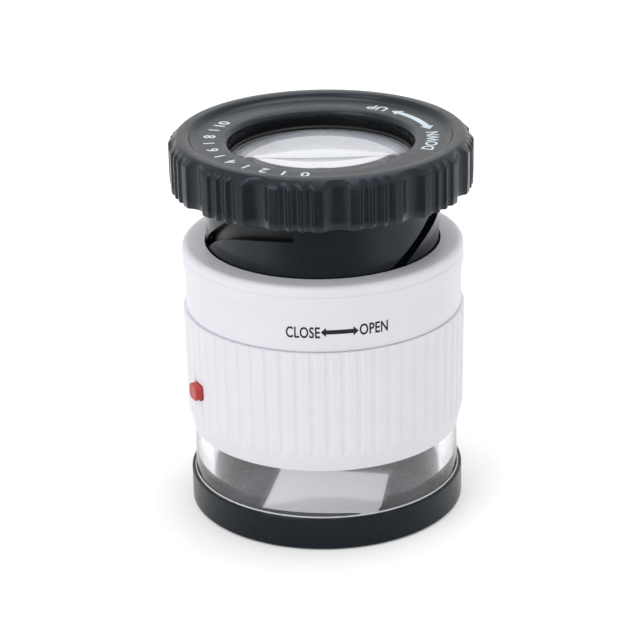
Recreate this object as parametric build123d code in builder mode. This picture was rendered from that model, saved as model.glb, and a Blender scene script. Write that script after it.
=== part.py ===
from build123d import *
import os
from math import cos, exp, pi, radians, sin

# Illuminated stand loupe: a lens tube that screws up and down on cam pins in
# a two-piece white housing, over a clear skirt and a foot with a scale plate.
# Millimetres, +Z up. The origin is on the optical axis at the foot's
# underside, and the front, with the OPEN and CLOSE marks, faces -Y.

# ---------------------------------------------------------------- sizes
# General fits
slide_fit = 0.05        # radial play between pieces that are pushed together
flat_gap = 0.3          # play between pieces that turn past each other
press_gap = 0.02        # play round a pressed or screwed piece

# Lenses, from the optical axis outwards
lens_radius = 18.3
lens_edge = 3.0         # thickness at the rim
lens_curve = 58.0       # radius of the domed face
lens_rim = 0.4          # flat ring round the dome
lens_spacing = 0.4      # length of the spacer between the two lenses
spacer_wall = 0.6
liner_wall = 0.65       # white liner round the lenses
retainer_height = 1.6
retainer_wall = 1.4
retainer_notch = 1.2    # width of the two spanner notches

# Lens cell
cell_wall = 2.35
cell_lip = 0.4          # how far the lip reaches over the lens
cell_lip_height = 0.55
cell_lip_edge = 0.3     # chamfer on the lip's upper edge
cell_rise = 1.25        # wall above the lip
cell_tail = 0.4         # wall below the retaining ring
cell_end = 0.4          # the cell ends this far above the barrel's end

# Cam barrel
cell_gap = 0.2          # radial gap between the cell and the barrel
barrel_wall = 1.4
barrel_edge = 0.4       # chamfer on the lower edge
cam_lead = 90.0         # rise for one whole turn
cam_count = 3
slot_width = 2.1
slot_knee = 19.0        # degrees from the pin to where the slot flattens
slot_flat = 57.5        # degrees that the flattened part runs on
slot_decay = 25.0       # degrees over which the slope dies away
slot_overlap = 1.5      # degrees that the two branches share below the knee
slot_end_play = 0.1     # free height beyond each end of the travel
focus_down = 11.0       # travel from the shown height to the lowest one
focus_up = 1.5          # travel from the shown height to the highest one
pin_angle = -60.6       # direction of the first cam pin
pin_radius = 1.0
pin_seat = 1.8          # length pressed into the collar
pin_tip_gap = 0.15      # the pins stop this far outside the barrel's bore

# Focus ring
ring_overhang = 6.8     # how far the ring stands out round the barrel
ring_height = 10.0
ring_lift = 11.65       # height of the ring's underside over the collar
ring_wall = 2.9
ring_chamfer_width = 1.75
ring_chamfer_height = 1.7
ring_foot_chamfer = 0.4
ring_crest = 2.05       # width of the crest inside the chamfer
ring_dish = 1.25        # depth of the dished face below the crest
ring_dish_slope = 0.8   # width of the slope from the crest to the dish
ring_lip_overlap = 3.35 # how far the web covers the cell's top
ring_lip_round = 1.2
web_thickness = 2.1
hub_wall = 1.5
hub_depth = 5.4
flute_count = 11
flute_radius = 3.9
flute_depth = 1.2
flute_angle = -84.0     # direction of the first flute
groove_count = 3        # narrow grooves between two flutes
groove_pitch = 5.05     # degrees
groove_radius = 1.1
groove_depth = 0.47

# Bayonet neck and collar
neck_gap = 0.65
neck_wall = 1.25
neck_height = 4.45      # above the sleeve
lug_reach = 0.9
lug_height = 1.4
lug_angle = 28.0        # degrees round the neck
lug_count = 3
lug_play = 0.15
lug_stop = 3.0          # degrees of the stop beside each neck lug
lug_direction = 90.0    # direction of the first lug
collar_wall = 1.35
collar_height = 13.1
collar_bore_gap = 0.35
collar_guide_wall = 1.2
collar_bead = 0.45      # how far the bead stands out
collar_bead_height = 4.2
collar_flare_height = 2.2
collar_round = 1.2      # rounding of the top outer edge
collar_line = 2.1       # depth of the fine line below the top
collar_line_depth = 0.12
pin_drop = 2.2          # the pins' depth below the collar's top
pin_cover = 0.85        # solid collar left under the pins
seam_gap = 0.3

# Grip sleeve
sleeve_step = 0.6       # the sleeve stands out this far from the collar
sleeve_wall = 1.85
sleeve_height = 25.15
sleeve_draft = 0.25     # the ribbed band narrows downwards by this radius
sleeve_taper_height = 4.1
sleeve_taper = 0.9      # the plain band narrows by this radius
sleeve_rim_wall = 1.45
rib_count = 58
rib_groove_radius = 1.15
rib_groove_depth = 0.28
rib_first = -5.0        # direction of the first groove, from the front

# Clear skirt
skirt_wall = 3.5
skirt_inset = 0.2       # the skirt lies this far inside the sleeve's rim
skirt_exposed = 10.2
skirt_bead = 0.25
skirt_bead_height = 1.6
skirt_draft = 0.1
spigot_height = 3.6

# Foot and scale plate
foot_wall = 1.0
foot_height = 6.7
foot_edge = 0.4
floor_thickness = 1.2
window_length = 23.4
window_width = 20.4
window_corner = 0.3
window_turn = -10.0     # degrees
window_offset = 2.5     # from the axis towards the front
ledge_width = 0.8
ledge_thickness = 0.4

# Chassis and light ring
flange_thickness = 1.2
shelf_thickness = 1.2
shelf_gap = 0.4         # left under the barrel at its lowest
deck_wall = 1.2
deck_rib = 1.2
deck_rib_count = 8
deck_rib_start = 150.0  # degrees
deck_rib_range = 240.0  # degrees
board_width = 5.0
board_thickness = 1.2
led_count = 6
led_radius = 1.5
led_length = 1.4        # straight part below the flange
led_flange = 0.4
led_flange_height = 0.8
screw_count = 3
screw_start = 30.0      # degrees
screw_radius = 1.0
screw_head_radius = 1.8
screw_head_height = 1.0
screw_length = 3.2
boss_radius = 2.0
boss_height = 2.6

# Battery cells
battery_count = 3
battery_radius = 5.8
battery_thickness = 3.05
battery_play = 0.3
battery_cap_radius = 4.6
battery_cap_height = 0.4
battery_pitch = 33.0    # degrees
contact_thickness = 0.22
contact_height = 5.6
contact_reach = 12.0    # degrees past the outer cells' centres

# Switch and button
switch_direction = 205.5
switch_width = 6.0
switch_depth = 2.3
plunger_radius = 1.0
plunger_gap = 0.1
plunger_seat = 0.3      # length that stays inside the switch
button_width = 3.3
button_height = 3.3
button_corner = 1.0
button_proud = 1.1
button_travel = 0.8
button_gap = 0.25
button_round = 0.3
button_flange = 0.8     # the flange that keeps the button in
button_flange_height = 0.5

# ---------------------------------------------------------------- places
# Radii, outwards from the lenses
liner_bore = lens_radius + slide_fit
liner_radius = liner_bore + liner_wall
dome_radius = lens_radius - lens_rim
cell_bore = liner_radius + slide_fit
cell_radius = cell_bore + cell_wall
barrel_bore = cell_radius + cell_gap
barrel_radius = barrel_bore + barrel_wall
ring_radius = barrel_radius + ring_overhang
ring_lip_radius = cell_radius - ring_lip_overlap
ring_skirt_bore = ring_radius - ring_wall
hub_bore = barrel_radius + press_gap
hub_radius = hub_bore + hub_wall
neck_bore = barrel_radius + neck_gap
neck_radius = neck_bore + neck_wall
lug_radius = neck_radius + lug_reach
collar_shell_bore = lug_radius + flat_gap
collar_radius = collar_shell_bore + collar_wall
collar_bore = barrel_radius + collar_bore_gap
collar_guide_radius = collar_bore + collar_guide_wall
collar_lug_bore = neck_radius + flat_gap
bead_radius = collar_radius + collar_bead
pin_tip = barrel_bore + pin_tip_gap
pin_end = collar_bore + pin_seat
sleeve_radius = collar_radius + sleeve_step
sleeve_low_radius = sleeve_radius - sleeve_draft
sleeve_rim_radius = sleeve_low_radius - sleeve_taper
sleeve_bore = sleeve_radius - sleeve_wall
sleeve_rim_bore = sleeve_rim_radius - sleeve_rim_wall
skirt_radius = sleeve_rim_radius - skirt_inset
skirt_bore = skirt_radius - skirt_wall
spigot_radius = sleeve_rim_bore - slide_fit
foot_bore = skirt_radius - skirt_draft
foot_radius = foot_bore + foot_wall
skirt_seat_radius = foot_bore - slide_fit
chassis_radius = sleeve_bore - slide_fit
board_radius = skirt_bore - flat_gap
board_bore = board_radius - board_width
led_circle = (board_radius + board_bore) / 2

# Heights, upwards from the foot
sleeve_bottom = foot_height + skirt_exposed
sleeve_top = sleeve_bottom + sleeve_height
spigot_top = sleeve_bottom + spigot_height
flange_top = spigot_top + flange_thickness
shelf_bottom = flange_top + 2 * (battery_radius + battery_play)
shelf_top = shelf_bottom + shelf_thickness
deck_middle = (flange_top + shelf_bottom) / 2
board_bottom = spigot_top - board_thickness
neck_top = sleeve_top + neck_height
lug_bottom = neck_top - lug_height
collar_lug_top = lug_bottom - lug_play
collar_lug_bottom = collar_lug_top - lug_height
collar_bottom = sleeve_top + seam_gap
collar_top = collar_bottom + collar_height
collar_guide_bottom = neck_top + flat_gap
pin_height = collar_top - pin_drop
collar_core_top = pin_height - pin_radius - pin_cover
barrel_bottom = shelf_top + shelf_gap + focus_down
ring_bottom = collar_top + ring_lift
ring_top = ring_bottom + ring_height
dish_height = ring_top - ring_dish
web_bottom = dish_height - web_thickness
lip_bottom = web_bottom - cell_rise - cell_lip_height
eye_lens_bottom = lip_bottom - slide_fit - lens_edge
spacer_bottom = eye_lens_bottom - lens_spacing
field_lens_bottom = spacer_bottom - lens_edge
cell_bottom = barrel_bottom + cell_end
retainer_bottom = cell_bottom + cell_tail
liner_bottom = retainer_bottom + retainer_height
liner_top = eye_lens_bottom + lens_edge

# The flat battery cells stand between two curved contact strips, and the
# chassis's inner wall stands inside them
contact_bore = chassis_radius - press_gap - contact_thickness
battery_corner = contact_bore - press_gap
battery_back = (battery_corner**2 - battery_radius**2) ** 0.5
battery_face = battery_back - battery_thickness
inner_contact_radius = battery_face - press_gap
deck_tube_radius = inner_contact_radius - contact_thickness - press_gap
deck_bore = deck_tube_radius - deck_wall
bay_direction = deck_rib_start + deck_rib_range / 2 - 180
switch_base = deck_tube_radius + slide_fit
switch_face = switch_base + switch_depth
button_base = switch_face + button_travel + slide_fit

os.makedirs("parts", exist_ok=True)


def save(piece, label):
    """Label a finished piece and write it to its own file."""
    piece.part.label = label
    export_step(piece.part, f"parts/{label}.step")


def ring_profile(points):
    """Close a profile in the plane of the axis and turn it round the axis."""
    with BuildSketch(Plane.XZ) as profile:
        with BuildLine():
            Polyline(*points, close=True)
        make_face()
    revolve(profile.sketch, axis=Axis.Z)


def ring_sector(inner, outer, start, span):
    """Sketch a sector of a flat ring, from a start angle over a span."""
    with BuildLine() as outline:
        inside = CenterArc((0, 0), inner, start, span)
        outside = CenterArc((0, 0), outer, start, span)
        Line(inside @ 0, outside @ 0)
        Line(inside @ 1, outside @ 1)
    make_face(outline.edges())


def on_axis_plane(direction, distance, height):
    """Plane that faces outwards at a distance from the axis."""
    angle = radians(direction)
    outwards = (cos(angle), sin(angle), 0)
    centre = (distance * cos(angle), distance * sin(angle), height)
    return Plane(origin=centre, x_dir=(-sin(angle), cos(angle), 0), z_dir=outwards)


# ---------------------------------------------------------------- foot
window_plane = Plane(origin=(0, -window_offset, 0)).rotated((0, 0, window_turn))
ledge_plane = window_plane.offset(ledge_thickness)
with BuildPart() as base_plate:
    ring_profile([
        (0, 0),
        (foot_radius - foot_edge, 0),
        (foot_radius, foot_edge),
        (foot_radius, foot_height - foot_edge / 2),
        (foot_radius - foot_edge / 2, foot_height),
        (foot_bore, foot_height),
        (foot_bore, floor_thickness),
        (0, floor_thickness),
    ])
    with BuildSketch(window_plane):
        RectangleRounded(window_length, window_width, window_corner)
    extrude(amount=floor_thickness, mode=Mode.SUBTRACT)
    with BuildSketch(ledge_plane):
        RectangleRounded(
            window_length + 2 * ledge_width,
            window_width + 2 * ledge_width,
            window_corner + ledge_width,
        )
    extrude(amount=floor_thickness, mode=Mode.SUBTRACT)
save(base_plate, "base_plate")

with BuildPart() as scale_plate:
    with BuildSketch(ledge_plane):
        RectangleRounded(
            window_length + 2 * (ledge_width - slide_fit),
            window_width + 2 * (ledge_width - slide_fit),
            window_corner + ledge_width - slide_fit,
        )
    extrude(amount=floor_thickness - ledge_thickness)
save(scale_plate, "scale_plate")

# ---------------------------------------------------------------- skirt
with BuildPart() as clear_skirt:
    ring_profile([
        (skirt_bore, floor_thickness),
        (skirt_seat_radius, floor_thickness),
        (skirt_seat_radius, foot_height),
        (skirt_radius + skirt_bead, foot_height),
        (skirt_radius + skirt_bead, foot_height + skirt_bead_height),
        (skirt_radius, foot_height + skirt_bead_height + skirt_bead),
        (skirt_radius - skirt_draft, sleeve_bottom),
        (spigot_radius, sleeve_bottom),
        (spigot_radius, spigot_top),
        (skirt_bore, spigot_top),
    ])
save(clear_skirt, "clear_skirt")

# ---------------------------------------------------------------- sleeve
with BuildPart() as grip_sleeve:
    ring_profile([
        (sleeve_rim_bore, sleeve_bottom),
        (sleeve_rim_radius, sleeve_bottom),
        (sleeve_low_radius, sleeve_bottom + sleeve_taper_height),
        (sleeve_radius, sleeve_top),
        (sleeve_bore, sleeve_top),
        (sleeve_bore, spigot_top),
        (sleeve_rim_bore, spigot_top),
    ])
    rib_length = sleeve_height - sleeve_taper_height
    rib_tilt = sleeve_draft / rib_length * 180 / pi
    rib_circle = sleeve_radius - sleeve_draft / 2 - rib_groove_depth + rib_groove_radius
    with Locations((0, 0, sleeve_top - rib_length / 2)):
        with PolarLocations(rib_circle, rib_count, start_angle=rib_first - 90):
            Cylinder(
                rib_groove_radius,
                rib_length + 2 * rib_groove_radius,
                rotation=(0, rib_tilt, 0),
                mode=Mode.SUBTRACT,
            )
    with BuildSketch(on_axis_plane(switch_direction, 0, deck_middle)):
        RectangleRounded(
            button_width + 2 * button_gap,
            button_height + 2 * button_gap,
            button_corner + button_gap,
        )
    extrude(amount=2 * sleeve_radius, mode=Mode.SUBTRACT)
save(grip_sleeve, "grip_sleeve")

# ---------------------------------------------------------------- chassis
with BuildPart() as chassis:
    ring_profile([
        (board_bore, spigot_top),
        (chassis_radius, spigot_top),
        (chassis_radius, flange_top),
        (deck_tube_radius, flange_top),
        (deck_tube_radius, shelf_bottom),
        (chassis_radius, shelf_bottom),
        (chassis_radius, shelf_top),
        (neck_radius, shelf_top),
        (neck_radius, neck_top),
        (neck_bore, neck_top),
        (neck_bore, shelf_top),
        (deck_bore, shelf_top),
        (deck_bore, flange_top),
        (board_bore, flange_top),
    ])
    rib_root = deck_tube_radius - deck_wall / 2
    rib_end = chassis_radius - slide_fit
    with BuildSketch(Plane.XY.offset(flange_top)):
        with PolarLocations(
            (rib_root + rib_end) / 2,
            deck_rib_count,
            start_angle=deck_rib_start,
            angular_range=deck_rib_range,
            endpoint=True,
        ):
            Rectangle(rib_end - rib_root, deck_rib)
    extrude(amount=shelf_bottom - flange_top)
    with BuildSketch(Plane.XY.offset(flange_top)):
        with PolarLocations(led_circle, screw_count, start_angle=screw_start):
            Circle(boss_radius)
    extrude(amount=boss_height)
    with BuildSketch(Plane.XY.offset(spigot_top)):
        with PolarLocations(led_circle, screw_count, start_angle=screw_start):
            Circle(screw_radius + press_gap)
    extrude(amount=screw_length - board_thickness + press_gap, mode=Mode.SUBTRACT)
    # Bayonet lugs at the top of the neck, each with a stop at its closed end
    lug_root = neck_radius - neck_wall / 2
    stop_gap = flat_gap / neck_radius * 180 / pi
    for lug in range(lug_count):
        lug_start = lug_direction + lug * 360 / lug_count - lug_angle / 2
        stop_start = lug_start - stop_gap - lug_stop
        with BuildSketch(Plane.XY.offset(lug_bottom)):
            ring_sector(lug_root, lug_radius, stop_start, stop_gap + lug_stop + lug_angle)
        extrude(amount=lug_height)
        with BuildSketch(Plane.XY.offset(collar_lug_bottom)):
            ring_sector(lug_root, lug_radius, stop_start, lug_stop)
        extrude(amount=neck_top - collar_lug_bottom)
save(chassis, "chassis")

# ---------------------------------------------------------------- light ring
with BuildPart() as led_board:
    with BuildSketch(Plane.XY.offset(board_bottom)):
        Circle(board_radius)
        Circle(board_bore, mode=Mode.SUBTRACT)
        with PolarLocations(led_circle, screw_count, start_angle=screw_start):
            Circle(screw_radius + slide_fit, mode=Mode.SUBTRACT)
    extrude(amount=board_thickness)
save(led_board, "led_board")

led_flange_bottom = board_bottom - led_flange_height
led_dome_base = led_flange_bottom - led_length
for number in range(led_count):
    angle = number * 360 / led_count
    with BuildPart() as led:
        with BuildSketch(Plane.XZ) as led_profile:
            with BuildLine():
                Polyline(
                    (led_radius, led_dome_base),
                    (led_radius, led_flange_bottom),
                    (led_radius + led_flange, led_flange_bottom),
                    (led_radius + led_flange, board_bottom),
                    (0, board_bottom),
                    (0, led_dome_base - led_radius),
                )
                CenterArc((0, led_dome_base), led_radius, -90, 90)
            make_face()
        revolve(axis=Axis.Z)
    led.part = led.part.moved(Location((led_circle, 0, 0))).rotate(Axis.Z, angle)
    save(led, f"led_{number + 1}")

with BuildPart() as board_screws:
    with BuildSketch(Plane.XY.offset(board_bottom)):
        with PolarLocations(led_circle, screw_count, start_angle=screw_start):
            Circle(screw_head_radius)
    extrude(amount=-screw_head_height)
    chamfer(board_screws.edges().group_by(Axis.Z)[0], screw_head_height / 3)
    with BuildSketch(Plane.XY.offset(board_bottom)):
        with PolarLocations(led_circle, screw_count, start_angle=screw_start):
            Circle(screw_radius)
    extrude(amount=screw_length)
save(board_screws, "board_screws")

# ---------------------------------------------------------------- battery
for number in range(battery_count):
    angle = bay_direction + (number - (battery_count - 1) / 2) * battery_pitch
    with BuildPart() as battery_cell:
        with BuildSketch(on_axis_plane(angle, battery_face, deck_middle)):
            Circle(battery_cap_radius)
        extrude(amount=battery_thickness)
        with BuildSketch(on_axis_plane(angle, battery_face + battery_cap_height, deck_middle)):
            Circle(battery_radius)
        extrude(amount=battery_thickness - battery_cap_height)
    save(battery_cell, f"battery_cell_{number + 1}")

contact_span = (battery_count - 1) * battery_pitch + 2 * contact_reach
contact_start = bay_direction - contact_span / 2
contact_plane = Plane.XY.offset(deck_middle - contact_height / 2)

with BuildPart() as battery_contact_inner:
    with BuildSketch(contact_plane):
        ring_sector(
            inner_contact_radius - contact_thickness,
            inner_contact_radius,
            contact_start,
            contact_span,
        )
    extrude(amount=contact_height)
save(battery_contact_inner, "battery_contact_inner")

with BuildPart() as battery_contact_outer:
    with BuildSketch(contact_plane):
        ring_sector(contact_bore, contact_bore + contact_thickness, contact_start, contact_span)
    extrude(amount=contact_height)
save(battery_contact_outer, "battery_contact_outer")

# ---------------------------------------------------------------- switch
with BuildPart() as switch_body:
    with BuildSketch(on_axis_plane(switch_direction, switch_base, deck_middle)):
        Rectangle(switch_width, switch_width)
    extrude(amount=switch_depth)
    with BuildSketch(on_axis_plane(switch_direction, switch_face, deck_middle)):
        Circle(plunger_radius + plunger_gap)
    extrude(amount=-(plunger_seat + button_travel + plunger_gap), mode=Mode.SUBTRACT)
save(switch_body, "switch_body")

with BuildPart() as switch_plunger:
    with BuildSketch(on_axis_plane(switch_direction, switch_face - plunger_seat, deck_middle)):
        Circle(plunger_radius)
    extrude(amount=button_base - switch_face + plunger_seat)
save(switch_plunger, "switch_plunger")

with BuildPart() as power_button:
    with BuildSketch(on_axis_plane(switch_direction, button_base, deck_middle)):
        RectangleRounded(
            button_width + 2 * button_flange,
            button_height + 2 * button_flange,
            button_corner + button_flange,
        )
    extrude(amount=button_flange_height)
    with BuildSketch(on_axis_plane(switch_direction, button_base, deck_middle)):
        RectangleRounded(button_width, button_height, button_corner)
    extrude(amount=sleeve_radius + button_proud - button_base)
    outwards = Axis((0, 0, 0), on_axis_plane(switch_direction, 0, 0).z_dir)
    fillet(power_button.faces().sort_by(outwards)[-1].edges(), button_round)
save(power_button, "power_button")

# ---------------------------------------------------------------- collar
with BuildPart() as collar:
    ring_profile([
        (collar_shell_bore, collar_bottom),
        (collar_radius, collar_bottom),
        (collar_radius, collar_top - collar_bead_height - collar_flare_height),
        (bead_radius, collar_top - collar_bead_height),
        (bead_radius, collar_top),
        (collar_bore, collar_top),
        (collar_bore, collar_guide_bottom),
        (collar_guide_radius, collar_guide_bottom),
        (collar_guide_radius, collar_core_top),
        (collar_shell_bore, collar_core_top),
    ])
    top_edge = collar.edges().filter_by(GeomType.CIRCLE).group_by(Axis.Z)[-1].sort_by(SortBy.RADIUS)[-1]
    fillet(top_edge, collar_round)
    # Fine turned line below the rounded edge
    ring_cut = collar_top - collar_line
    with BuildSketch(Plane.XZ):
        with BuildLine():
            Polyline(
                (bead_radius - collar_line_depth, ring_cut),
                (bead_radius + collar_line_depth, ring_cut + 2 * collar_line_depth),
                (bead_radius + collar_line_depth, ring_cut - 2 * collar_line_depth),
                close=True,
            )
        make_face()
    revolve(axis=Axis.Z, mode=Mode.SUBTRACT)
    for lug in range(lug_count):
        lug_start = lug_direction + lug * 360 / lug_count - lug_angle / 2
        with BuildSketch(Plane.XY.offset(collar_lug_bottom)):
            ring_sector(collar_lug_bore, collar_shell_bore + collar_wall / 2, lug_start, lug_angle)
        extrude(amount=lug_height)
    for pin in range(cam_count):
        with BuildSketch(on_axis_plane(pin_angle + pin * 360 / cam_count, 0, pin_height)):
            Circle(pin_radius + press_gap)
        extrude(amount=pin_end + press_gap, mode=Mode.SUBTRACT)
save(collar, "collar")

for pin in range(cam_count):
    with BuildPart() as cam_pin:
        with BuildSketch(on_axis_plane(pin_angle + pin * 360 / cam_count, pin_tip, pin_height)):
            Circle(pin_radius)
        extrude(amount=pin_end - pin_tip)
    save(cam_pin, f"cam_pin_{pin + 1}")

# ---------------------------------------------------------------- cam barrel
# One slot, with its lower end in the direction of +X. It climbs at the cam's
# lead over the whole travel, and a second branch leaves it at the knee and
# flattens out towards a square end.
slot_low = pin_height - focus_up - slot_end_play
slot_high = pin_height + focus_down + slot_end_play
slot_start = (slot_low - pin_height) * 360 / cam_lead
slot_middle = (barrel_bore + barrel_radius) / 2
slot_depth = 2 * barrel_wall + slot_width
knee_height = pin_height + slot_knee * cam_lead / 360


def flat_point(turned):
    """Point on the flattened branch, some degrees past the knee."""
    rise = slot_decay * cam_lead / 360 * (1 - exp(-turned / slot_decay))
    angle = radians(slot_knee - slot_start + turned)
    return (slot_middle * cos(angle), slot_middle * sin(angle), knee_height + rise)


with BuildPart() as climb_branch:
    with BuildLine() as climb:
        Helix(cam_lead, slot_high - slot_low, slot_middle, center=(0, 0, slot_low))
    climb_path = climb.wires()[0]
    climb_plane = Plane(origin=climb_path @ 0, x_dir=(1, 0, 0), z_dir=climb_path % 0)
    with BuildSketch(climb_plane) as climb_section:
        Rectangle(slot_depth, slot_width)
    sweep(climb_section.sketch, path=climb_path, is_frenet=True)

with BuildPart() as flat_branch:
    with BuildLine() as flattening:
        Spline(*[flat_point(-slot_overlap + (slot_flat + slot_overlap) * step / 6) for step in range(7)])
    flat_path = flattening.wires()[0]
    branch_angle = radians(slot_knee - slot_start - slot_overlap)
    outward = (cos(branch_angle), sin(branch_angle), 0)
    flat_plane = Plane(origin=flat_path @ 0, x_dir=outward, z_dir=flat_path % 0)
    axis_line = Edge.make_line((0, 0, (flat_path @ 0).Z), (0, 0, (flat_path @ 1).Z))
    with BuildSketch(flat_plane) as flat_section:
        Rectangle(slot_depth, slot_width)
    sweep(flat_section.sketch, path=flat_path, binormal=axis_line)

with BuildPart() as cam_barrel:
    ring_profile([
        (barrel_bore, barrel_bottom),
        (barrel_radius - barrel_edge, barrel_bottom),
        (barrel_radius, barrel_bottom + barrel_edge),
        (barrel_radius, web_bottom),
        (barrel_bore, web_bottom),
    ])
    for slot in range(cam_count):
        slot_angle = pin_angle + slot_start + slot * 360 / cam_count
        add(climb_branch.part.rotate(Axis.Z, slot_angle), mode=Mode.SUBTRACT)
        add(flat_branch.part.rotate(Axis.Z, slot_angle), mode=Mode.SUBTRACT)
        for height in (slot_low, slot_high):
            turned = (height - slot_low) * 360 / cam_lead
            with BuildSketch(on_axis_plane(slot_angle + turned, 0, height)):
                Circle(slot_width / 2 + press_gap)
            extrude(amount=barrel_radius + slot_width, mode=Mode.SUBTRACT)
save(cam_barrel, "cam_barrel")

# ---------------------------------------------------------------- focus ring
crest_radius = ring_radius - ring_chamfer_width
with BuildPart() as focus_ring:
    with BuildSketch(Plane.XZ):
        with BuildLine():
            lip_end = (ring_lip_radius + ring_lip_round, dish_height)
            Polyline(
                lip_end,
                (crest_radius - ring_crest - ring_dish_slope, dish_height),
                (crest_radius - ring_crest, ring_top),
                (crest_radius, ring_top),
                (ring_radius, ring_top - ring_chamfer_height),
                (ring_radius, ring_bottom + ring_foot_chamfer),
                (ring_radius - ring_foot_chamfer, ring_bottom),
                (ring_skirt_bore, ring_bottom),
                (ring_skirt_bore, web_bottom),
                (hub_radius, web_bottom),
                (hub_radius, web_bottom - hub_depth),
                (hub_bore, web_bottom - hub_depth),
                (hub_bore, web_bottom),
                (ring_lip_radius, web_bottom),
                (ring_lip_radius, dish_height - ring_lip_round),
            )
            RadiusArc((ring_lip_radius, dish_height - ring_lip_round), lip_end, ring_lip_round)
        make_face()
    revolve(axis=Axis.Z)
    flute_circle = ring_radius - flute_depth + flute_radius
    groove_circle = ring_radius - groove_depth + groove_radius
    with Locations((0, 0, ring_bottom + ring_height / 2)):
        with PolarLocations(flute_circle, flute_count, start_angle=flute_angle):
            Cylinder(flute_radius, 2 * ring_height, mode=Mode.SUBTRACT)
        for groove in range(groove_count):
            offset = 180 / flute_count + (groove - (groove_count - 1) / 2) * groove_pitch
            with PolarLocations(groove_circle, flute_count, start_angle=flute_angle + offset):
                Cylinder(groove_radius, 2 * ring_height, mode=Mode.SUBTRACT)
save(focus_ring, "focus_ring")

# ---------------------------------------------------------------- lens cell
with BuildPart() as lens_cell:
    ring_profile([
        (cell_bore, cell_bottom),
        (cell_radius, cell_bottom),
        (cell_radius, web_bottom),
        (cell_bore, web_bottom),
        (cell_bore, lip_bottom + cell_lip_height),
        (lens_radius - cell_lip + cell_lip_edge, lip_bottom + cell_lip_height),
        (lens_radius - cell_lip, lip_bottom + cell_lip_height - cell_lip_edge),
        (lens_radius - cell_lip, lip_bottom),
        (cell_bore, lip_bottom),
    ])
save(lens_cell, "lens_cell")

with BuildPart() as lens_liner:
    ring_profile([
        (dome_radius, liner_bottom),
        (liner_radius, liner_bottom),
        (liner_radius, liner_top),
        (liner_bore, liner_top),
        (liner_bore, field_lens_bottom),
        (dome_radius, field_lens_bottom),
    ])
save(lens_liner, "lens_liner")

dome_height = lens_curve - (lens_curve**2 - dome_radius**2) ** 0.5


def make_lens(flat, dome, label):
    """Plano-convex lens from the height of its flat side to that of its dome's rim."""
    crown = dome + dome_height if dome > flat else dome - dome_height
    with BuildPart() as lens:
        with BuildSketch(Plane.XZ) as lens_profile:
            with BuildLine():
                Polyline((0, crown), (0, flat), (lens_radius, flat), (lens_radius, dome), (dome_radius, dome))
                RadiusArc((dome_radius, dome), (0, crown), lens_curve if dome < flat else -lens_curve)
            make_face()
        revolve(lens_profile.sketch, axis=Axis.Z)
    save(lens, label)


make_lens(eye_lens_bottom, liner_top, "eye_lens")
make_lens(spacer_bottom, field_lens_bottom, "field_lens")

with BuildPart() as spacer_ring:
    ring_profile([
        (lens_radius - spacer_wall, spacer_bottom),
        (lens_radius, spacer_bottom),
        (lens_radius, eye_lens_bottom),
        (lens_radius - spacer_wall, eye_lens_bottom),
    ])
save(spacer_ring, "spacer_ring")

with BuildPart() as retaining_ring:
    ring_profile([
        (liner_radius - retainer_wall, retainer_bottom),
        (liner_radius, retainer_bottom),
        (liner_radius, liner_bottom),
        (liner_radius - retainer_wall, liner_bottom),
    ])
    with BuildSketch(Plane.XY.offset(retainer_bottom)):
        Rectangle(2 * liner_radius + retainer_wall, retainer_notch)
    extrude(amount=retainer_height / 2, mode=Mode.SUBTRACT)
save(retaining_ring, "retaining_ring")
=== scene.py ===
from math import ceil, cos, degrees, hypot, pi, radians, sin, sqrt, tan

import bmesh
import bpy
from mathutils import Matrix, Vector


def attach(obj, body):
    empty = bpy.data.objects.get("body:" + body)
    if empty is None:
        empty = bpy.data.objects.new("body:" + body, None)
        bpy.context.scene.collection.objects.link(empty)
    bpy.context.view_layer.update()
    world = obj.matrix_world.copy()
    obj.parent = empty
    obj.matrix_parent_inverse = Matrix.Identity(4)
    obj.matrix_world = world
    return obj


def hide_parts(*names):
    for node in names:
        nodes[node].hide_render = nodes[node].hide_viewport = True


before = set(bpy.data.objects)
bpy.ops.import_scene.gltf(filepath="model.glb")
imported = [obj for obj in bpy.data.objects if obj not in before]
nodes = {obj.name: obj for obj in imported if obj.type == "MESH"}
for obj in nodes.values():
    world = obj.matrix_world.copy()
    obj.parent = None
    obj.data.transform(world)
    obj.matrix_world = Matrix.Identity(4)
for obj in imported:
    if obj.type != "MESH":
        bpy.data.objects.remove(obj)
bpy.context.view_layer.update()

scene = bpy.context.scene
MM = 0.001


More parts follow.
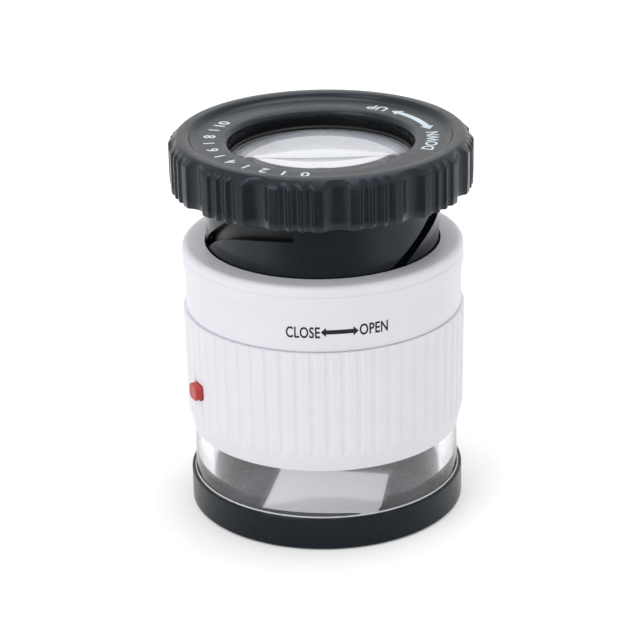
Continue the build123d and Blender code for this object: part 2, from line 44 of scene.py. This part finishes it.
# ---------------------------------------------------------------- materials
class Finish:
    """A node material: colour, roughness and bump vary over object space."""

    def __init__(self, name):
        self.material = bpy.data.materials.new(name)
        self.material.use_nodes = True
        self.tree = self.material.node_tree
        self.shader = self.tree.nodes["Principled BSDF"]
        self.output = self.tree.nodes["Material Output"]
        self.place = self.add("ShaderNodeTexCoord").outputs["Object"]

    def add(self, kind, **inputs):
        node = self.tree.nodes.new(kind)
        for key, value in inputs.items():
            node.inputs[key.replace("_", " ")].default_value = value
        return node

    def link(self, source, target):
        self.tree.links.new(source, target)

    def set(self, **inputs):
        for key, value in inputs.items():
            self.shader.inputs[key.replace("_", " ")].default_value = value
        return self

    def noise(self, size, detail=3.0, roughness=0.5):
        """Noise whose features are about size millimetres across."""
        node = self.add("ShaderNodeTexNoise", Scale=1000 / size, Detail=detail, Roughness=roughness)
        self.link(self.place, node.inputs["Vector"])
        return node.outputs["Fac"]

    def spread(self, source, low, high, start=0.3, end=0.7):
        node = self.add("ShaderNodeMapRange")
        ends = {"From Min": start, "From Max": end, "To Min": low, "To Max": high}
        for key, value in ends.items():
            node.inputs[key].default_value = value
        self.link(source, node.inputs["Value"])
        return node.outputs["Result"]

    def blend(self, factor, first, second):
        node = self.add("ShaderNodeMix")
        node.data_type = "RGBA"
        self.link(factor, node.inputs[0])
        node.inputs[6].default_value = (*first, 1)
        node.inputs[7].default_value = (*second, 1)
        return node.outputs[2]

    def colour(self, first, second, size=6.0, start=0.35, end=0.65):
        factor = self.spread(self.noise(size), 0, 1, start, end)
        self.link(self.blend(factor, first, second), self.shader.inputs["Base Color"])
        return self

    def rough(self, low, high, size=2.5):
        self.link(self.spread(self.noise(size, 4.0), low, high), self.shader.inputs["Roughness"])
        return self

    def bump(self, size, height, detail=2.0):
        """Surface grain: size and height in millimetres."""
        node = self.add("ShaderNodeBump", Strength=1.0, Distance=height * MM)
        self.link(self.noise(size, detail), node.inputs["Height"])
        self.link(node.outputs["Normal"], self.shader.inputs["Normal"])
        return self

    def clear_shadow(self, tint):
        """Let the light through in shadow rays, so clear pieces don't black out what is behind."""
        path = self.add("ShaderNodeLightPath")
        clear = self.add("ShaderNodeBsdfTransparent", Color=(*tint, 1))
        mix = self.add("ShaderNodeMixShader")
        self.link(path.outputs["Is Shadow Ray"], mix.inputs[0])
        self.link(self.shader.outputs["BSDF"], mix.inputs[1])
        self.link(clear.outputs["BSDF"], mix.inputs[2])
        self.link(mix.outputs["Shader"], self.output.inputs["Surface"])
        return self


# Each finish has two base colours that drift into each other, its least and greatest
# roughness, and its grain as (size, height) in millimetres
def plastic(name, first, second, rough, grain, level=0.5, sheen=(1.0, 1.0, 1.0)):
    finish = Finish(name).set(IOR=1.49, Specular_IOR_Level=level, Specular_Tint=(*sheen, 1.0))
    return finish.colour(first, second).rough(*rough).bump(*grain).material


def metal(name, first, second, rough, grain):
    finish = Finish(name).set(Metallic=1.0)
    return finish.colour(first, second, 1.5).rough(*rough).bump(*grain).material


def clear(name, first, second, rough, grain, ior, tint, clarity=1.0):
    finish = Finish(name).set(Transmission_Weight=clarity, IOR=ior)
    return finish.colour(first, second).rough(*rough).bump(*grain).clear_shadow(tint).material


black = plastic("black_moulded_plastic", (0.0048, 0.0068, 0.0092), (0.0066, 0.0088, 0.0118),
                (0.22, 0.31), (0.16, 0.004), 0.38, (0.77, 0.87, 1.0))
cell_black = plastic("lens_cell_black", (0.0050, 0.0058, 0.0070), (0.0058, 0.0066, 0.0080),
                     (0.30, 0.36), (0.30, 0.0015), 0.3)
foot_black = plastic("black_foot_plastic", (0.0048, 0.0068, 0.0092), (0.0066, 0.0088, 0.0118),
                     (0.24, 0.33), (0.16, 0.004), 0.24, (0.72, 0.85, 1.0))
white = plastic("white_moulded_plastic", (0.775, 0.770, 0.825), (0.790, 0.785, 0.840),
                (0.32, 0.42), (0.25, 0.003))
chassis_white = plastic("white_chassis_plastic", (0.76, 0.76, 0.77), (0.80, 0.80, 0.81),
                        (0.50, 0.62), (0.18, 0.005))
red = plastic("red_button_plastic", (0.46, 0.045, 0.038), (0.52, 0.055, 0.045),
              (0.30, 0.40), (0.2, 0.004))
board = plastic("white_circuit_board", (0.70, 0.73, 0.70), (0.76, 0.79, 0.76),
                (0.35, 0.5), (0.3, 0.004))
ink_black = plastic("black_print", (0.010, 0.010, 0.012), (0.016, 0.016, 0.018),
                    (0.5, 0.6), (0.1, 0.002), 0.3)
ink_white = plastic("white_print", (0.52, 0.60, 0.65), (0.60, 0.68, 0.73),
                    (0.5, 0.6), (0.1, 0.002), 0.3)

steel = metal("screw_steel", (0.52, 0.53, 0.54), (0.62, 0.62, 0.62), (0.25, 0.38), (0.3, 0.002))
nickel = metal("cell_nickel", (0.60, 0.58, 0.54), (0.70, 0.68, 0.64), (0.18, 0.30), (0.4, 0.002))
# The cam pins' brass is coloured near black, so that a pin seen in a slot is as dark as the shaded
# void there: painted shade
shade_dark_brass = metal("shade_darkened_brass", (0.070, 0.060, 0.050), (0.10, 0.085, 0.065),
                  (0.32, 0.45), (0.3, 0.002))

acrylic = clear("clear_acrylic", (0.945, 0.955, 0.982), (0.958, 0.967, 0.992),
                (0.04, 0.07), (2.5, 0.002), 1.49, (0.93, 0.935, 0.95), 0.975)
glass = clear("lens_glass", (0.936, 0.950, 0.984), (0.943, 0.957, 0.988),
              (0.0, 0.005), (9.0, 0.001), 1.52, (0.97, 0.972, 0.978))
plate_glass = clear("scale_glass", (0.955, 0.957, 0.967), (0.97, 0.972, 0.98),
                    (0.0, 0.02), (6.0, 0.001), 1.49, (0.94, 0.943, 0.95))
# Pale half-clear finish for the thin ring at the foot's rim: painted highlight, standing in for the
# bright line that light piped down the skirt's edge makes there
rim_highlight = clear("painted_rim_highlight", (0.80, 0.80, 0.82), (0.86, 0.86, 0.88),
             (0.25, 0.40), (0.6, 0.004), 1.48, (0.9, 0.9, 0.9), 0.35)
epoxy = clear("lamp_epoxy", (0.93, 0.93, 0.90), (0.97, 0.97, 0.94),
              (0.02, 0.06), (1.0, 0.002), 1.5, (0.92, 0.92, 0.90))


def paint(material, *names):
    """Give carried-over CAD nodes their finish."""
    for name in names:
        slots = nodes[name].data.materials
        for index in range(len(slots)):
            slots[index] = material


paint(foot_black, "base_plate")
paint(black, "cam_barrel", "switch_body", "switch_plunger", "retaining_ring")
paint(cell_black, "lens_cell")
paint(white, "grip_sleeve", "collar")
paint(chassis_white, "chassis", "lens_liner", "spacer_ring")
paint(red, "power_button")
paint(board, "led_board")
paint(glass, "eye_lens", "field_lens")
paint(plate_glass, "scale_plate")
paint(epoxy, *[f"led_{lamp}" for lamp in range(1, 7)])
paint(steel, "board_screws", "battery_contact_inner", "battery_contact_outer")
paint(nickel, "battery_cell_1", "battery_cell_2", "battery_cell_3")
# Near-black pins: painted shade of the slot's void
paint(shade_dark_brass, "cam_pin_1", "cam_pin_2", "cam_pin_3")


# ---------------------------------------------------------------- pieces
def add_object(name, data):
    holder = bpy.data.objects.new(name, data)
    scene.collection.objects.link(holder)
    return holder


def add_piece(name, mesh, material, body):
    mesh.materials.append(material)
    piece = add_object(name, mesh)
    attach(piece, body)
    return piece


def turned_piece(name, rounds, material, body):
    """A smooth closed ring from its outlines round Z, each a list of points in millimetres."""
    count = len(rounds[0])
    faces = []
    for step in range(len(rounds)):
        here, there = step * count, (step + 1) % len(rounds) * count
        for index in range(count):
            after = (index + 1) % count
            faces.append((here + index, here + after, there + after, there + index))
    points = [[value * MM for value in point] for outline in rounds for point in outline]
    mesh = bpy.data.meshes.new(name)
    mesh.from_pydata(points, [], faces)
    mesh.shade_smooth()
    return add_piece(name, mesh, material, body)


def at_angle(outline, angle):
    """The points of a (radius, height) outline, angle degrees round Z."""
    turn = radians(angle)
    return [(radius * cos(turn), radius * sin(turn), height) for radius, height in outline]


def ring_piece(name, outline, material, body, steps=360):
    """Turned ring from its closed (radius, height) outline, clockwise with radius to the right."""
    rounds = [at_angle(outline, 360 * step / steps) for step in range(steps)]
    return turned_piece(name, rounds, material, body)


ARC_STEP = 18


def rounded(corners):
    """Closed outline of (x, y, rounding) corners, with each corner turned into an arc."""
    outline = []
    for index, (x, y, size) in enumerate(corners):
        here = Vector((x, y))
        before = Vector(corners[index - 1][:2]) - here
        after = Vector(corners[(index + 1) % len(corners)][:2]) - here
        bend = pi - before.angle(after)
        reach = size * tan(bend / 2)
        start, end = here + before.normalized() * reach, here + after.normalized() * reach
        steps = max(1, round(degrees(bend) / ARC_STEP)) if size else 0
        if not steps:
            outline.append((x, y))
            continue
        halfway = (before.normalized() + after.normalized()).normalized()
        middle = here + halfway * size / cos(bend / 2)
        first, last = start - middle, end - middle
        for step in range(steps + 1):
            part = step / steps
            arm = (first * sin((1 - part) * bend) + last * sin(part * bend)) / sin(bend)
            outline.append(tuple(middle + arm))
    return outline


# ---------------------------------------------------------------- focus ring
# Its face is one soft profile, and its flutes and grooves fade into the chamfer
# with rounded edges. Lengths are in millimetres and angles in degrees
RING_RADIUS, RING_BOTTOM, RING_TOP, RING_SKIRT_BORE = 29.8, 67.1, 77.1, 26.9
LIP_BORE, WEB_BOTTOM = 18.05, 73.75
HUB_BORE, HUB_RADIUS, HUB_DEPTH = 23.02, 24.52, 5.4
DISH, DISH_RADIUS, CREST_INNER, CREST_OUTER, CHAMFER_DROP = 75.85, 25.2, 26.0, 28.05, 1.7
RING_EDGE, RING_STEPS, LONGEST_RUN = 0.2, 1260, 2.0
FLUTES, FLUTE_RADIUS, FLUTE_DEPTH, FLUTE_ANGLE, FLUTE_SOFT = 12, 3.5, 1.25, -84.6, 0.10
GROOVES, GROOVE_PITCH, GROOVE_RADIUS, GROOVE_DEPTH, GROOVE_SOFT = 3, 4.7, 1.05, 0.62, 0.08
TUCK, TUCK_HEIGHT, WALL_SOFT = 0.30, 0.55, 0.16
UNCUT = RING_RADIUS + 5


def cut_radius(turn, radius, depth):
    """Radius of the wall left by a cutter of that radius and depth, turn degrees to its side."""
    middle = RING_RADIUS - depth + radius
    side = middle * sin(radians(turn))
    if abs(side) >= radius:
        return UNCUT
    return middle * cos(radians(turn)) - sqrt(radius**2 - side**2)


def soft_least(first, second, soft):
    """The lesser of two values, with a rounded changeover."""
    mixed = max(soft - abs(first - second), 0) / soft
    return min(first, second) - mixed**2 * soft / 4


def ring_wall(angle):
    """Radius of the ring's outer wall in that direction."""
    spacing = 360 / FLUTES
    turn = (angle - FLUTE_ANGLE + spacing / 2) % spacing - spacing / 2
    wall = soft_least(RING_RADIUS, cut_radius(turn, FLUTE_RADIUS, FLUTE_DEPTH), FLUTE_SOFT)
    between = (turn % spacing) - spacing / 2
    for groove in range(GROOVES):
        offset = between - (groove - (GROOVES - 1) / 2) * GROOVE_PITCH
        wall = soft_least(wall, cut_radius(offset, GROOVE_RADIUS, GROOVE_DEPTH), GROOVE_SOFT)
    return wall


def densify(outline, longest):
    """The same closed outline with no run longer than that."""
    result = []
    for index, here in enumerate(outline):
        there = outline[(index + 1) % len(outline)]
        parts = max(1, ceil(hypot(there[0] - here[0], there[1] - here[1]) / longest))
        for part in range(parts):
            result.append(tuple(a + (b - a) * part / parts for a, b in zip(here, there)))
    return result


def fluted(outline, wall):
    """The ring's outline with its outside kept within a wall, which tucks in at the bottom edge."""
    cut = []
    for radius, height in outline:
        if radius > RING_SKIRT_BORE + 0.5:
            tuck = min(max((RING_BOTTOM + TUCK_HEIGHT - height) / TUCK_HEIGHT, 0), 1)
            radius = soft_least(radius, wall - TUCK * tuck**2, WALL_SOFT)
        cut.append((radius, height))
    return cut


ring_outline = densify(rounded([
    (LIP_BORE, WEB_BOTTOM, 0.15),
    (LIP_BORE, DISH, 1.2),
    (DISH_RADIUS, DISH, 1.4),
    (CREST_INNER, RING_TOP, 0.8),
    (CREST_OUTER, RING_TOP, 0.7),
    (RING_RADIUS, RING_TOP - CHAMFER_DROP, 0.25),
    (RING_RADIUS, RING_BOTTOM + RING_EDGE, 0.0),
    (RING_RADIUS - RING_EDGE, RING_BOTTOM, 0.0),
    (RING_SKIRT_BORE, RING_BOTTOM, 0.15),
    (RING_SKIRT_BORE, WEB_BOTTOM, 0.4),
    (HUB_RADIUS, WEB_BOTTOM, 0.4),
    (HUB_RADIUS, WEB_BOTTOM - HUB_DEPTH, 0.15),
    (HUB_BORE, WEB_BOTTOM - HUB_DEPTH, 0.15),
    (HUB_BORE, WEB_BOTTOM, 0.0),
]), LONGEST_RUN)
ring_angles = [360 * step / RING_STEPS for step in range(RING_STEPS)]
ring_rounds = [at_angle(fluted(ring_outline, ring_wall(angle)), angle) for angle in ring_angles]
ring_visual = turned_piece("focus_ring_fluted", ring_rounds, black, "focus_tube")
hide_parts("focus_ring")


# ---------------------------------------------------------------- prints
PRINT_THICKNESS, PRINT_LIFT, STRIP_WIDTH = 0.012, 0.01, 0.6
CAPITAL_SHARE = 0.70     # height of a capital, for a font size of 1


def flat_mesh(curve, name):
    """Closed thin mesh of a filled curve, taken from a temporary object."""
    holder = add_object(name, curve)
    bpy.context.view_layer.update()
    shown = holder.evaluated_get(bpy.context.evaluated_depsgraph_get())
    mesh = bpy.data.meshes.new_from_object(shown)
    bpy.data.objects.remove(holder)
    return mesh


def words_curve(text, height, weight):
    """Words in capitals of that height, thickened by weight."""
    curve = bpy.data.curves.new("words", "FONT")
    curve.body = text
    curve.size = height / CAPITAL_SHARE
    curve.align_x = "CENTER"
    curve.offset = weight
    curve.extrude = PRINT_THICKNESS
    curve.resolution_u = 4
    curve.space_character = 1.05
    return curve


def outline_curve(outline):
    curve = bpy.data.curves.new("outline", "CURVE")
    curve.dimensions = "2D"
    curve.fill_mode = "BOTH"
    curve.extrude = PRINT_THICKNESS
    spline = curve.splines.new("POLY")
    spline.points.add(len(outline) - 1)
    for point, (x, y) in zip(spline.points, outline):
        point.co = (x, y, 0, 1)
    spline.use_cyclic_u = True
    return curve


def arrow_outline(length, shaft, head, head_length):
    """Double-headed arrow along X, centred on the origin."""
    half = length / 2
    neck = half - head_length
    right = [(neck, -shaft / 2), (neck, -head / 2), (half, 0), (neck, head / 2), (neck, shaft / 2)]
    return right + [(-x, y) for x, y in reversed(right)]


def bar_outline(width, height):
    x, y = width / 2, height / 2
    return [(-x, -y), (x, -y), (x, y), (-x, y)]


def wrapped(curve, name, place, material, body, width=None, height=None):
    """Print piece: a flat curve, fitted to a width and height about its middle, cut into
    narrow strips and laid on the surface by place(x, y, z)."""
    mesh = flat_mesh(curve, name)
    work = bmesh.new()
    work.from_mesh(mesh)
    for axis, wanted in ((0, width), (1, height)):
        values = [vertex.co[axis] for vertex in work.verts]
        middle, reach = (min(values) + max(values)) / 2, max(values) - min(values)
        for vertex in work.verts:
            vertex.co[axis] = (vertex.co[axis] - middle) * ((wanted or reach) / reach)
    low = min(vertex.co.x for vertex in work.verts)
    high = max(vertex.co.x for vertex in work.verts)
    strips = max(2, ceil((high - low) / STRIP_WIDTH))
    for strip in range(1, strips):
        cut = (low + (high - low) * strip / strips, 0, 0)
        everything = work.verts[:] + work.edges[:] + work.faces[:]
        bmesh.ops.bisect_plane(work, geom=everything, plane_co=cut, plane_no=(1, 0, 0))
    bmesh.ops.remove_doubles(work, verts=work.verts, dist=1e-5)
    bmesh.ops.recalc_face_normals(work, faces=work.faces)
    for vertex in work.verts:
        vertex.co = Vector(place(*vertex.co)) * MM
    work.to_mesh(mesh)
    work.free()
    mesh.materials.clear()
    mesh.name = name
    return add_piece(name, mesh, material, body)


def on_wall(angle, height, radius):
    """Placer for print on an upright wall, read from outside."""
    def place(x, y, z):
        turn, reach = radians(angle) + x / radius, radius + z + PRINT_LIFT
        return (reach * cos(turn), reach * sin(turn), height + y)
    return place


def on_dish(angle, radius, tops_in):
    """Placer for print on the ring's dished face, its tops towards or away from the lens."""
    side = 1 if tops_in else -1

    def place(x, y, z):
        turn = radians(angle) + side * x / radius
        reach = radius - side * y
        return (reach * cos(turn), reach * sin(turn), DISH + z + PRINT_LIFT)
    return place


# Words with their angle, height and width on the collar
COLLAR_RADIUS, COLLAR_LETTERS = 27.45, 2.30
for word, angle, height, width in (("CLOSE", -98.6, 46.22, 6.55), ("OPEN", -69.9, 46.40, 5.75)):
    place = on_wall(angle, height, COLLAR_RADIUS)
    wrapped(words_curve(word, 2.2, 0.06), f"mark_{word.lower()}", place,
            ink_black, "collar", width, COLLAR_LETTERS)
wrapped(outline_curve(arrow_outline(7.25, 0.85, 1.90, 1.0)), "mark_turn_arrow",
        on_wall(-83.9, 46.28, COLLAR_RADIUS), ink_black, "collar")

# Words with their angle, radius, width and height on the ring's face
DISH_PRINT = 21.8
for word, angle, radius, width, height in (
        ("UP", 58.0, DISH_PRINT, 4.4, 2.5), ("DOWN", -8.0, DISH_PRINT + 0.05, 11.0, 2.45)):
    wrapped(words_curve(word, 2.2, 0.07), f"mark_{word.lower()}", on_dish(angle, radius, True),
            ink_white, "focus_tube", width, height)
wrapped(outline_curve(arrow_outline(14.4, 1.30, 2.8, 2.1)), "mark_focus_arrow",
        on_dish(29.9, DISH_PRINT, True), ink_white, "focus_tube")

# A plain scale stands where the real ring names its product: a number at each
# even mark, and a tick at each odd one
SCALE_MARKS, SCALE_START, SCALE_PITCH, SCALE_LETTERS = 11, -98.0, 10.9, 2.4
for number in range(SCALE_MARKS):
    angle = SCALE_START - number * SCALE_PITCH
    if number % 2 == 0:
        curve, height = words_curve(str(number), SCALE_LETTERS, 0.07), SCALE_LETTERS
        width = 1.7 if number < 10 else 3.2
    else:
        curve, width, height = outline_curve(bar_outline(0.5, 2.2)), None, None
    wrapped(curve, f"scale_mark_{number}", on_dish(angle, DISH_PRINT, False),
            ink_white, "focus_tube", width, height)


# ---------------------------------------------------------------- small rings and skirt
SLEEVE_TOP = 42.05
WASHER_BORE, WASHER_RADIUS, WASHER_EDGE = 26.10, 27.22, 0.04
washer_bottom, washer_top = SLEEVE_TOP + 0.02, SLEEVE_TOP + 0.24
ring_piece("slip_washer", rounded([
    (WASHER_BORE, washer_top, WASHER_EDGE), (WASHER_RADIUS, washer_top, WASHER_EDGE),
    (WASHER_RADIUS, washer_bottom, WASHER_EDGE), (WASHER_BORE, washer_bottom, WASHER_EDGE)]),
    chassis_white, "stand")
# A thin pale ring where the skirt sits in the foot's rim, giving the bright line of light piped
# down the skirt: painted highlight
ring_piece("rim_highlight_ring", [
    (26.79, 6.94), (26.82, 6.94), (26.85, 6.84), (26.90, 6.76), (26.98, 6.705), (26.79, 6.705)],
    rim_highlight, "stand")

# The skirt's wall swells smoothly at the foot's rim, so that it shows no edge there
SKIRT_BORE, SKIRT_SEAT, SKIRT_WALL, SKIRT_DRAFT, SPIGOT_RADIUS = 23.2, 26.55, 26.7, 0.1, 25.4
SKIRT_BOTTOM, SKIRT_RIM, SWELL_TOP, SKIRT_TOP, SPIGOT_TOP = 1.2, 6.7, 7.8, 16.9, 20.5
SWELL, SWELL_STEPS, SKIRT_STEPS, SHARP_ANGLE = 0.08, 18, 720, 35
skirt_outline = [
    (SKIRT_SEAT, SKIRT_BOTTOM), (SKIRT_BORE, SKIRT_BOTTOM), (SKIRT_BORE, SPIGOT_TOP),
    (SPIGOT_RADIUS, SPIGOT_TOP), (SPIGOT_RADIUS, SKIRT_TOP), (SKIRT_WALL - SKIRT_DRAFT, SKIRT_TOP)]
for step in range(SWELL_STEPS + 1):
    part = step / SWELL_STEPS
    height = SWELL_TOP + (SKIRT_RIM - SWELL_TOP) * part
    skirt_outline.append((SKIRT_WALL + SWELL * (3 - 2 * part) * part**2, height))
skirt_outline.append((SKIRT_SEAT, SKIRT_RIM))
skirt_visual = ring_piece(
    "clear_skirt_moulded", skirt_outline, acrylic, "stand", SKIRT_STEPS)
skirt_visual.data.set_sharp_from_angle(angle=radians(SHARP_ANGLE))
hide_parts("clear_skirt")


# ---------------------------------------------------------------- stage
def flat_quad(name, west, south, east, north, height):
    corners = [(west, south), (east, south), (east, north), (west, north)]
    mesh = bpy.data.meshes.new(name)
    mesh.from_pydata([(x, y, height) for x, y in corners], [], [(0, 1, 2, 3)])
    return add_object(name, mesh)


def empty_tree(owner):
    owner.use_nodes = True
    owner.node_tree.nodes.clear()
    return owner.node_tree


def shader_node(tree, kind, **inputs):
    node = tree.nodes.new(kind)
    for key, value in inputs.items():
        node.inputs[key].default_value = value
    return node


def background_rays(tree):
    """1 for the rays that show the background: camera, glossy and transmission rays."""
    path = tree.nodes.new("ShaderNodeLightPath")
    shown = path.outputs["Is Camera Ray"]
    for ray in ("Is Glossy Ray", "Is Transmission Ray"):
        either = tree.nodes.new("ShaderNodeMath")
        either.operation = "MAXIMUM"
        tree.links.new(shown, either.inputs[0])
        tree.links.new(path.outputs[ray], either.inputs[1])
        shown = either.outputs["Value"]
    return shown


def split_by_rays(tree, unseen, seen, output):
    """Send one shader to the rays that show the background, and the other to the rest."""
    mix = tree.nodes.new("ShaderNodeMixShader")
    tree.links.new(background_rays(tree), mix.inputs[0])
    tree.links.new(unseen, mix.inputs[1])
    tree.links.new(seen, mix.inputs[2])
    tree.links.new(mix.outputs["Shader"], tree.nodes.new(output).inputs["Surface"])


# The floor is pale, with a slight glow where it is seen, which makes it white and
# keeps its shadow
FLOOR_REACH, FLOOR_DROP, FLOOR_GLOW = 3.0, 0.00005, 0.17
floor = flat_quad("floor", -FLOOR_REACH, -FLOOR_REACH, FLOOR_REACH, FLOOR_REACH, -FLOOR_DROP)
floor_finish = bpy.data.materials.new("pale_floor")
tree = empty_tree(floor_finish)
diffuse = shader_node(tree, "ShaderNodeBsdfDiffuse", Color=(0.86, 0.86, 0.86, 1))
glow = shader_node(tree, "ShaderNodeEmission", Strength=FLOOR_GLOW)
both = tree.nodes.new("ShaderNodeAddShader")
tree.links.new(diffuse.outputs["BSDF"], both.inputs[0])
tree.links.new(glow.outputs["Emission"], both.inputs[1])
split_by_rays(tree, diffuse.outputs["BSDF"], both.outputs["Shader"], "ShaderNodeOutputMaterial")
floor.data.materials.append(floor_finish)

# A dark card in front, seen only in reflections, gives the black plastic its contrast
card = flat_quad("front_card", -0.13, -0.42, 0.13, -0.10, 0.001)
card_finish = bpy.data.materials.new("grey_card")
card_finish.use_nodes = True
card_shader = card_finish.node_tree.nodes["Principled BSDF"]
card_shader.inputs["Base Color"].default_value = (0.24, 0.24, 0.25, 1)
card.data.materials.append(card_finish)
card.visible_camera = card.visible_diffuse = card.visible_transmission = card.visible_shadow = False

# The world is white where it is seen, and a plain soft light elsewhere
world = bpy.data.worlds.new("soft_studio")
scene.world = world
tree = empty_tree(world)
white_sky = shader_node(tree, "ShaderNodeBackground", Color=(1, 1, 1, 1), Strength=1.0)
soft_sky = shader_node(tree, "ShaderNodeBackground", Color=(1, 1, 1, 1), Strength=0.72)
split_by_rays(
    tree, soft_sky.outputs["Background"], white_sky.outputs["Background"], "ShaderNodeOutputWorld")


LIT_POINT = (0, 0, 0.04)


def lamp(name, place, size, power):
    light = bpy.data.lights.new(name, "AREA")
    light.shape = "RECTANGLE"
    light.size, light.size_y = size
    light.energy = power
    holder = add_object(name, light)
    holder.location = place
    holder.rotation_euler = (Vector(LIT_POINT) - Vector(place)).to_track_quat("-Z", "Y").to_euler()


lamp("key_softbox", (-0.55, -0.55, 0.75), (0.6, 0.6), 2.7)
lamp("top_softbox", (0.10, 0.15, 0.95), (0.8, 0.8), 4.2)

# ---------------------------------------------------------------- camera
# Fitted to the photograph: lengths in metres, angles in degrees, and the frame in pixels
FRAME, SENSOR, FOCAL_PIXELS = 640, 36.0, 2425.309
CENTRE_X, CENTRE_Y = 324.400, 331.328
DISTANCE, ELEVATION, ROLL, AIM_HEIGHT = 0.487852, 22.7609, -1.0929, 0.035
camera_data = bpy.data.cameras.new("camera")
camera_data.sensor_width = SENSOR
camera_data.lens = SENSOR * FOCAL_PIXELS / FRAME
camera_data.shift_x = -(CENTRE_X - FRAME / 2) / FRAME
camera_data.shift_y = (CENTRE_Y - FRAME / 2) / FRAME
camera_data.clip_start, camera_data.clip_end = 0.01, 20
camera = add_object("camera", camera_data)
tilt = radians(ELEVATION)
camera.location = (0, -DISTANCE * cos(tilt), AIM_HEIGHT + DISTANCE * sin(tilt))
camera.rotation_mode = "QUATERNION"
turn = Matrix.Rotation(radians(90 - ELEVATION), 4, "X") @ Matrix.Rotation(radians(ROLL), 4, "Z")
camera.rotation_quaternion = turn.to_quaternion()
scene.camera = camera
scene.view_settings.view_transform = "Standard"
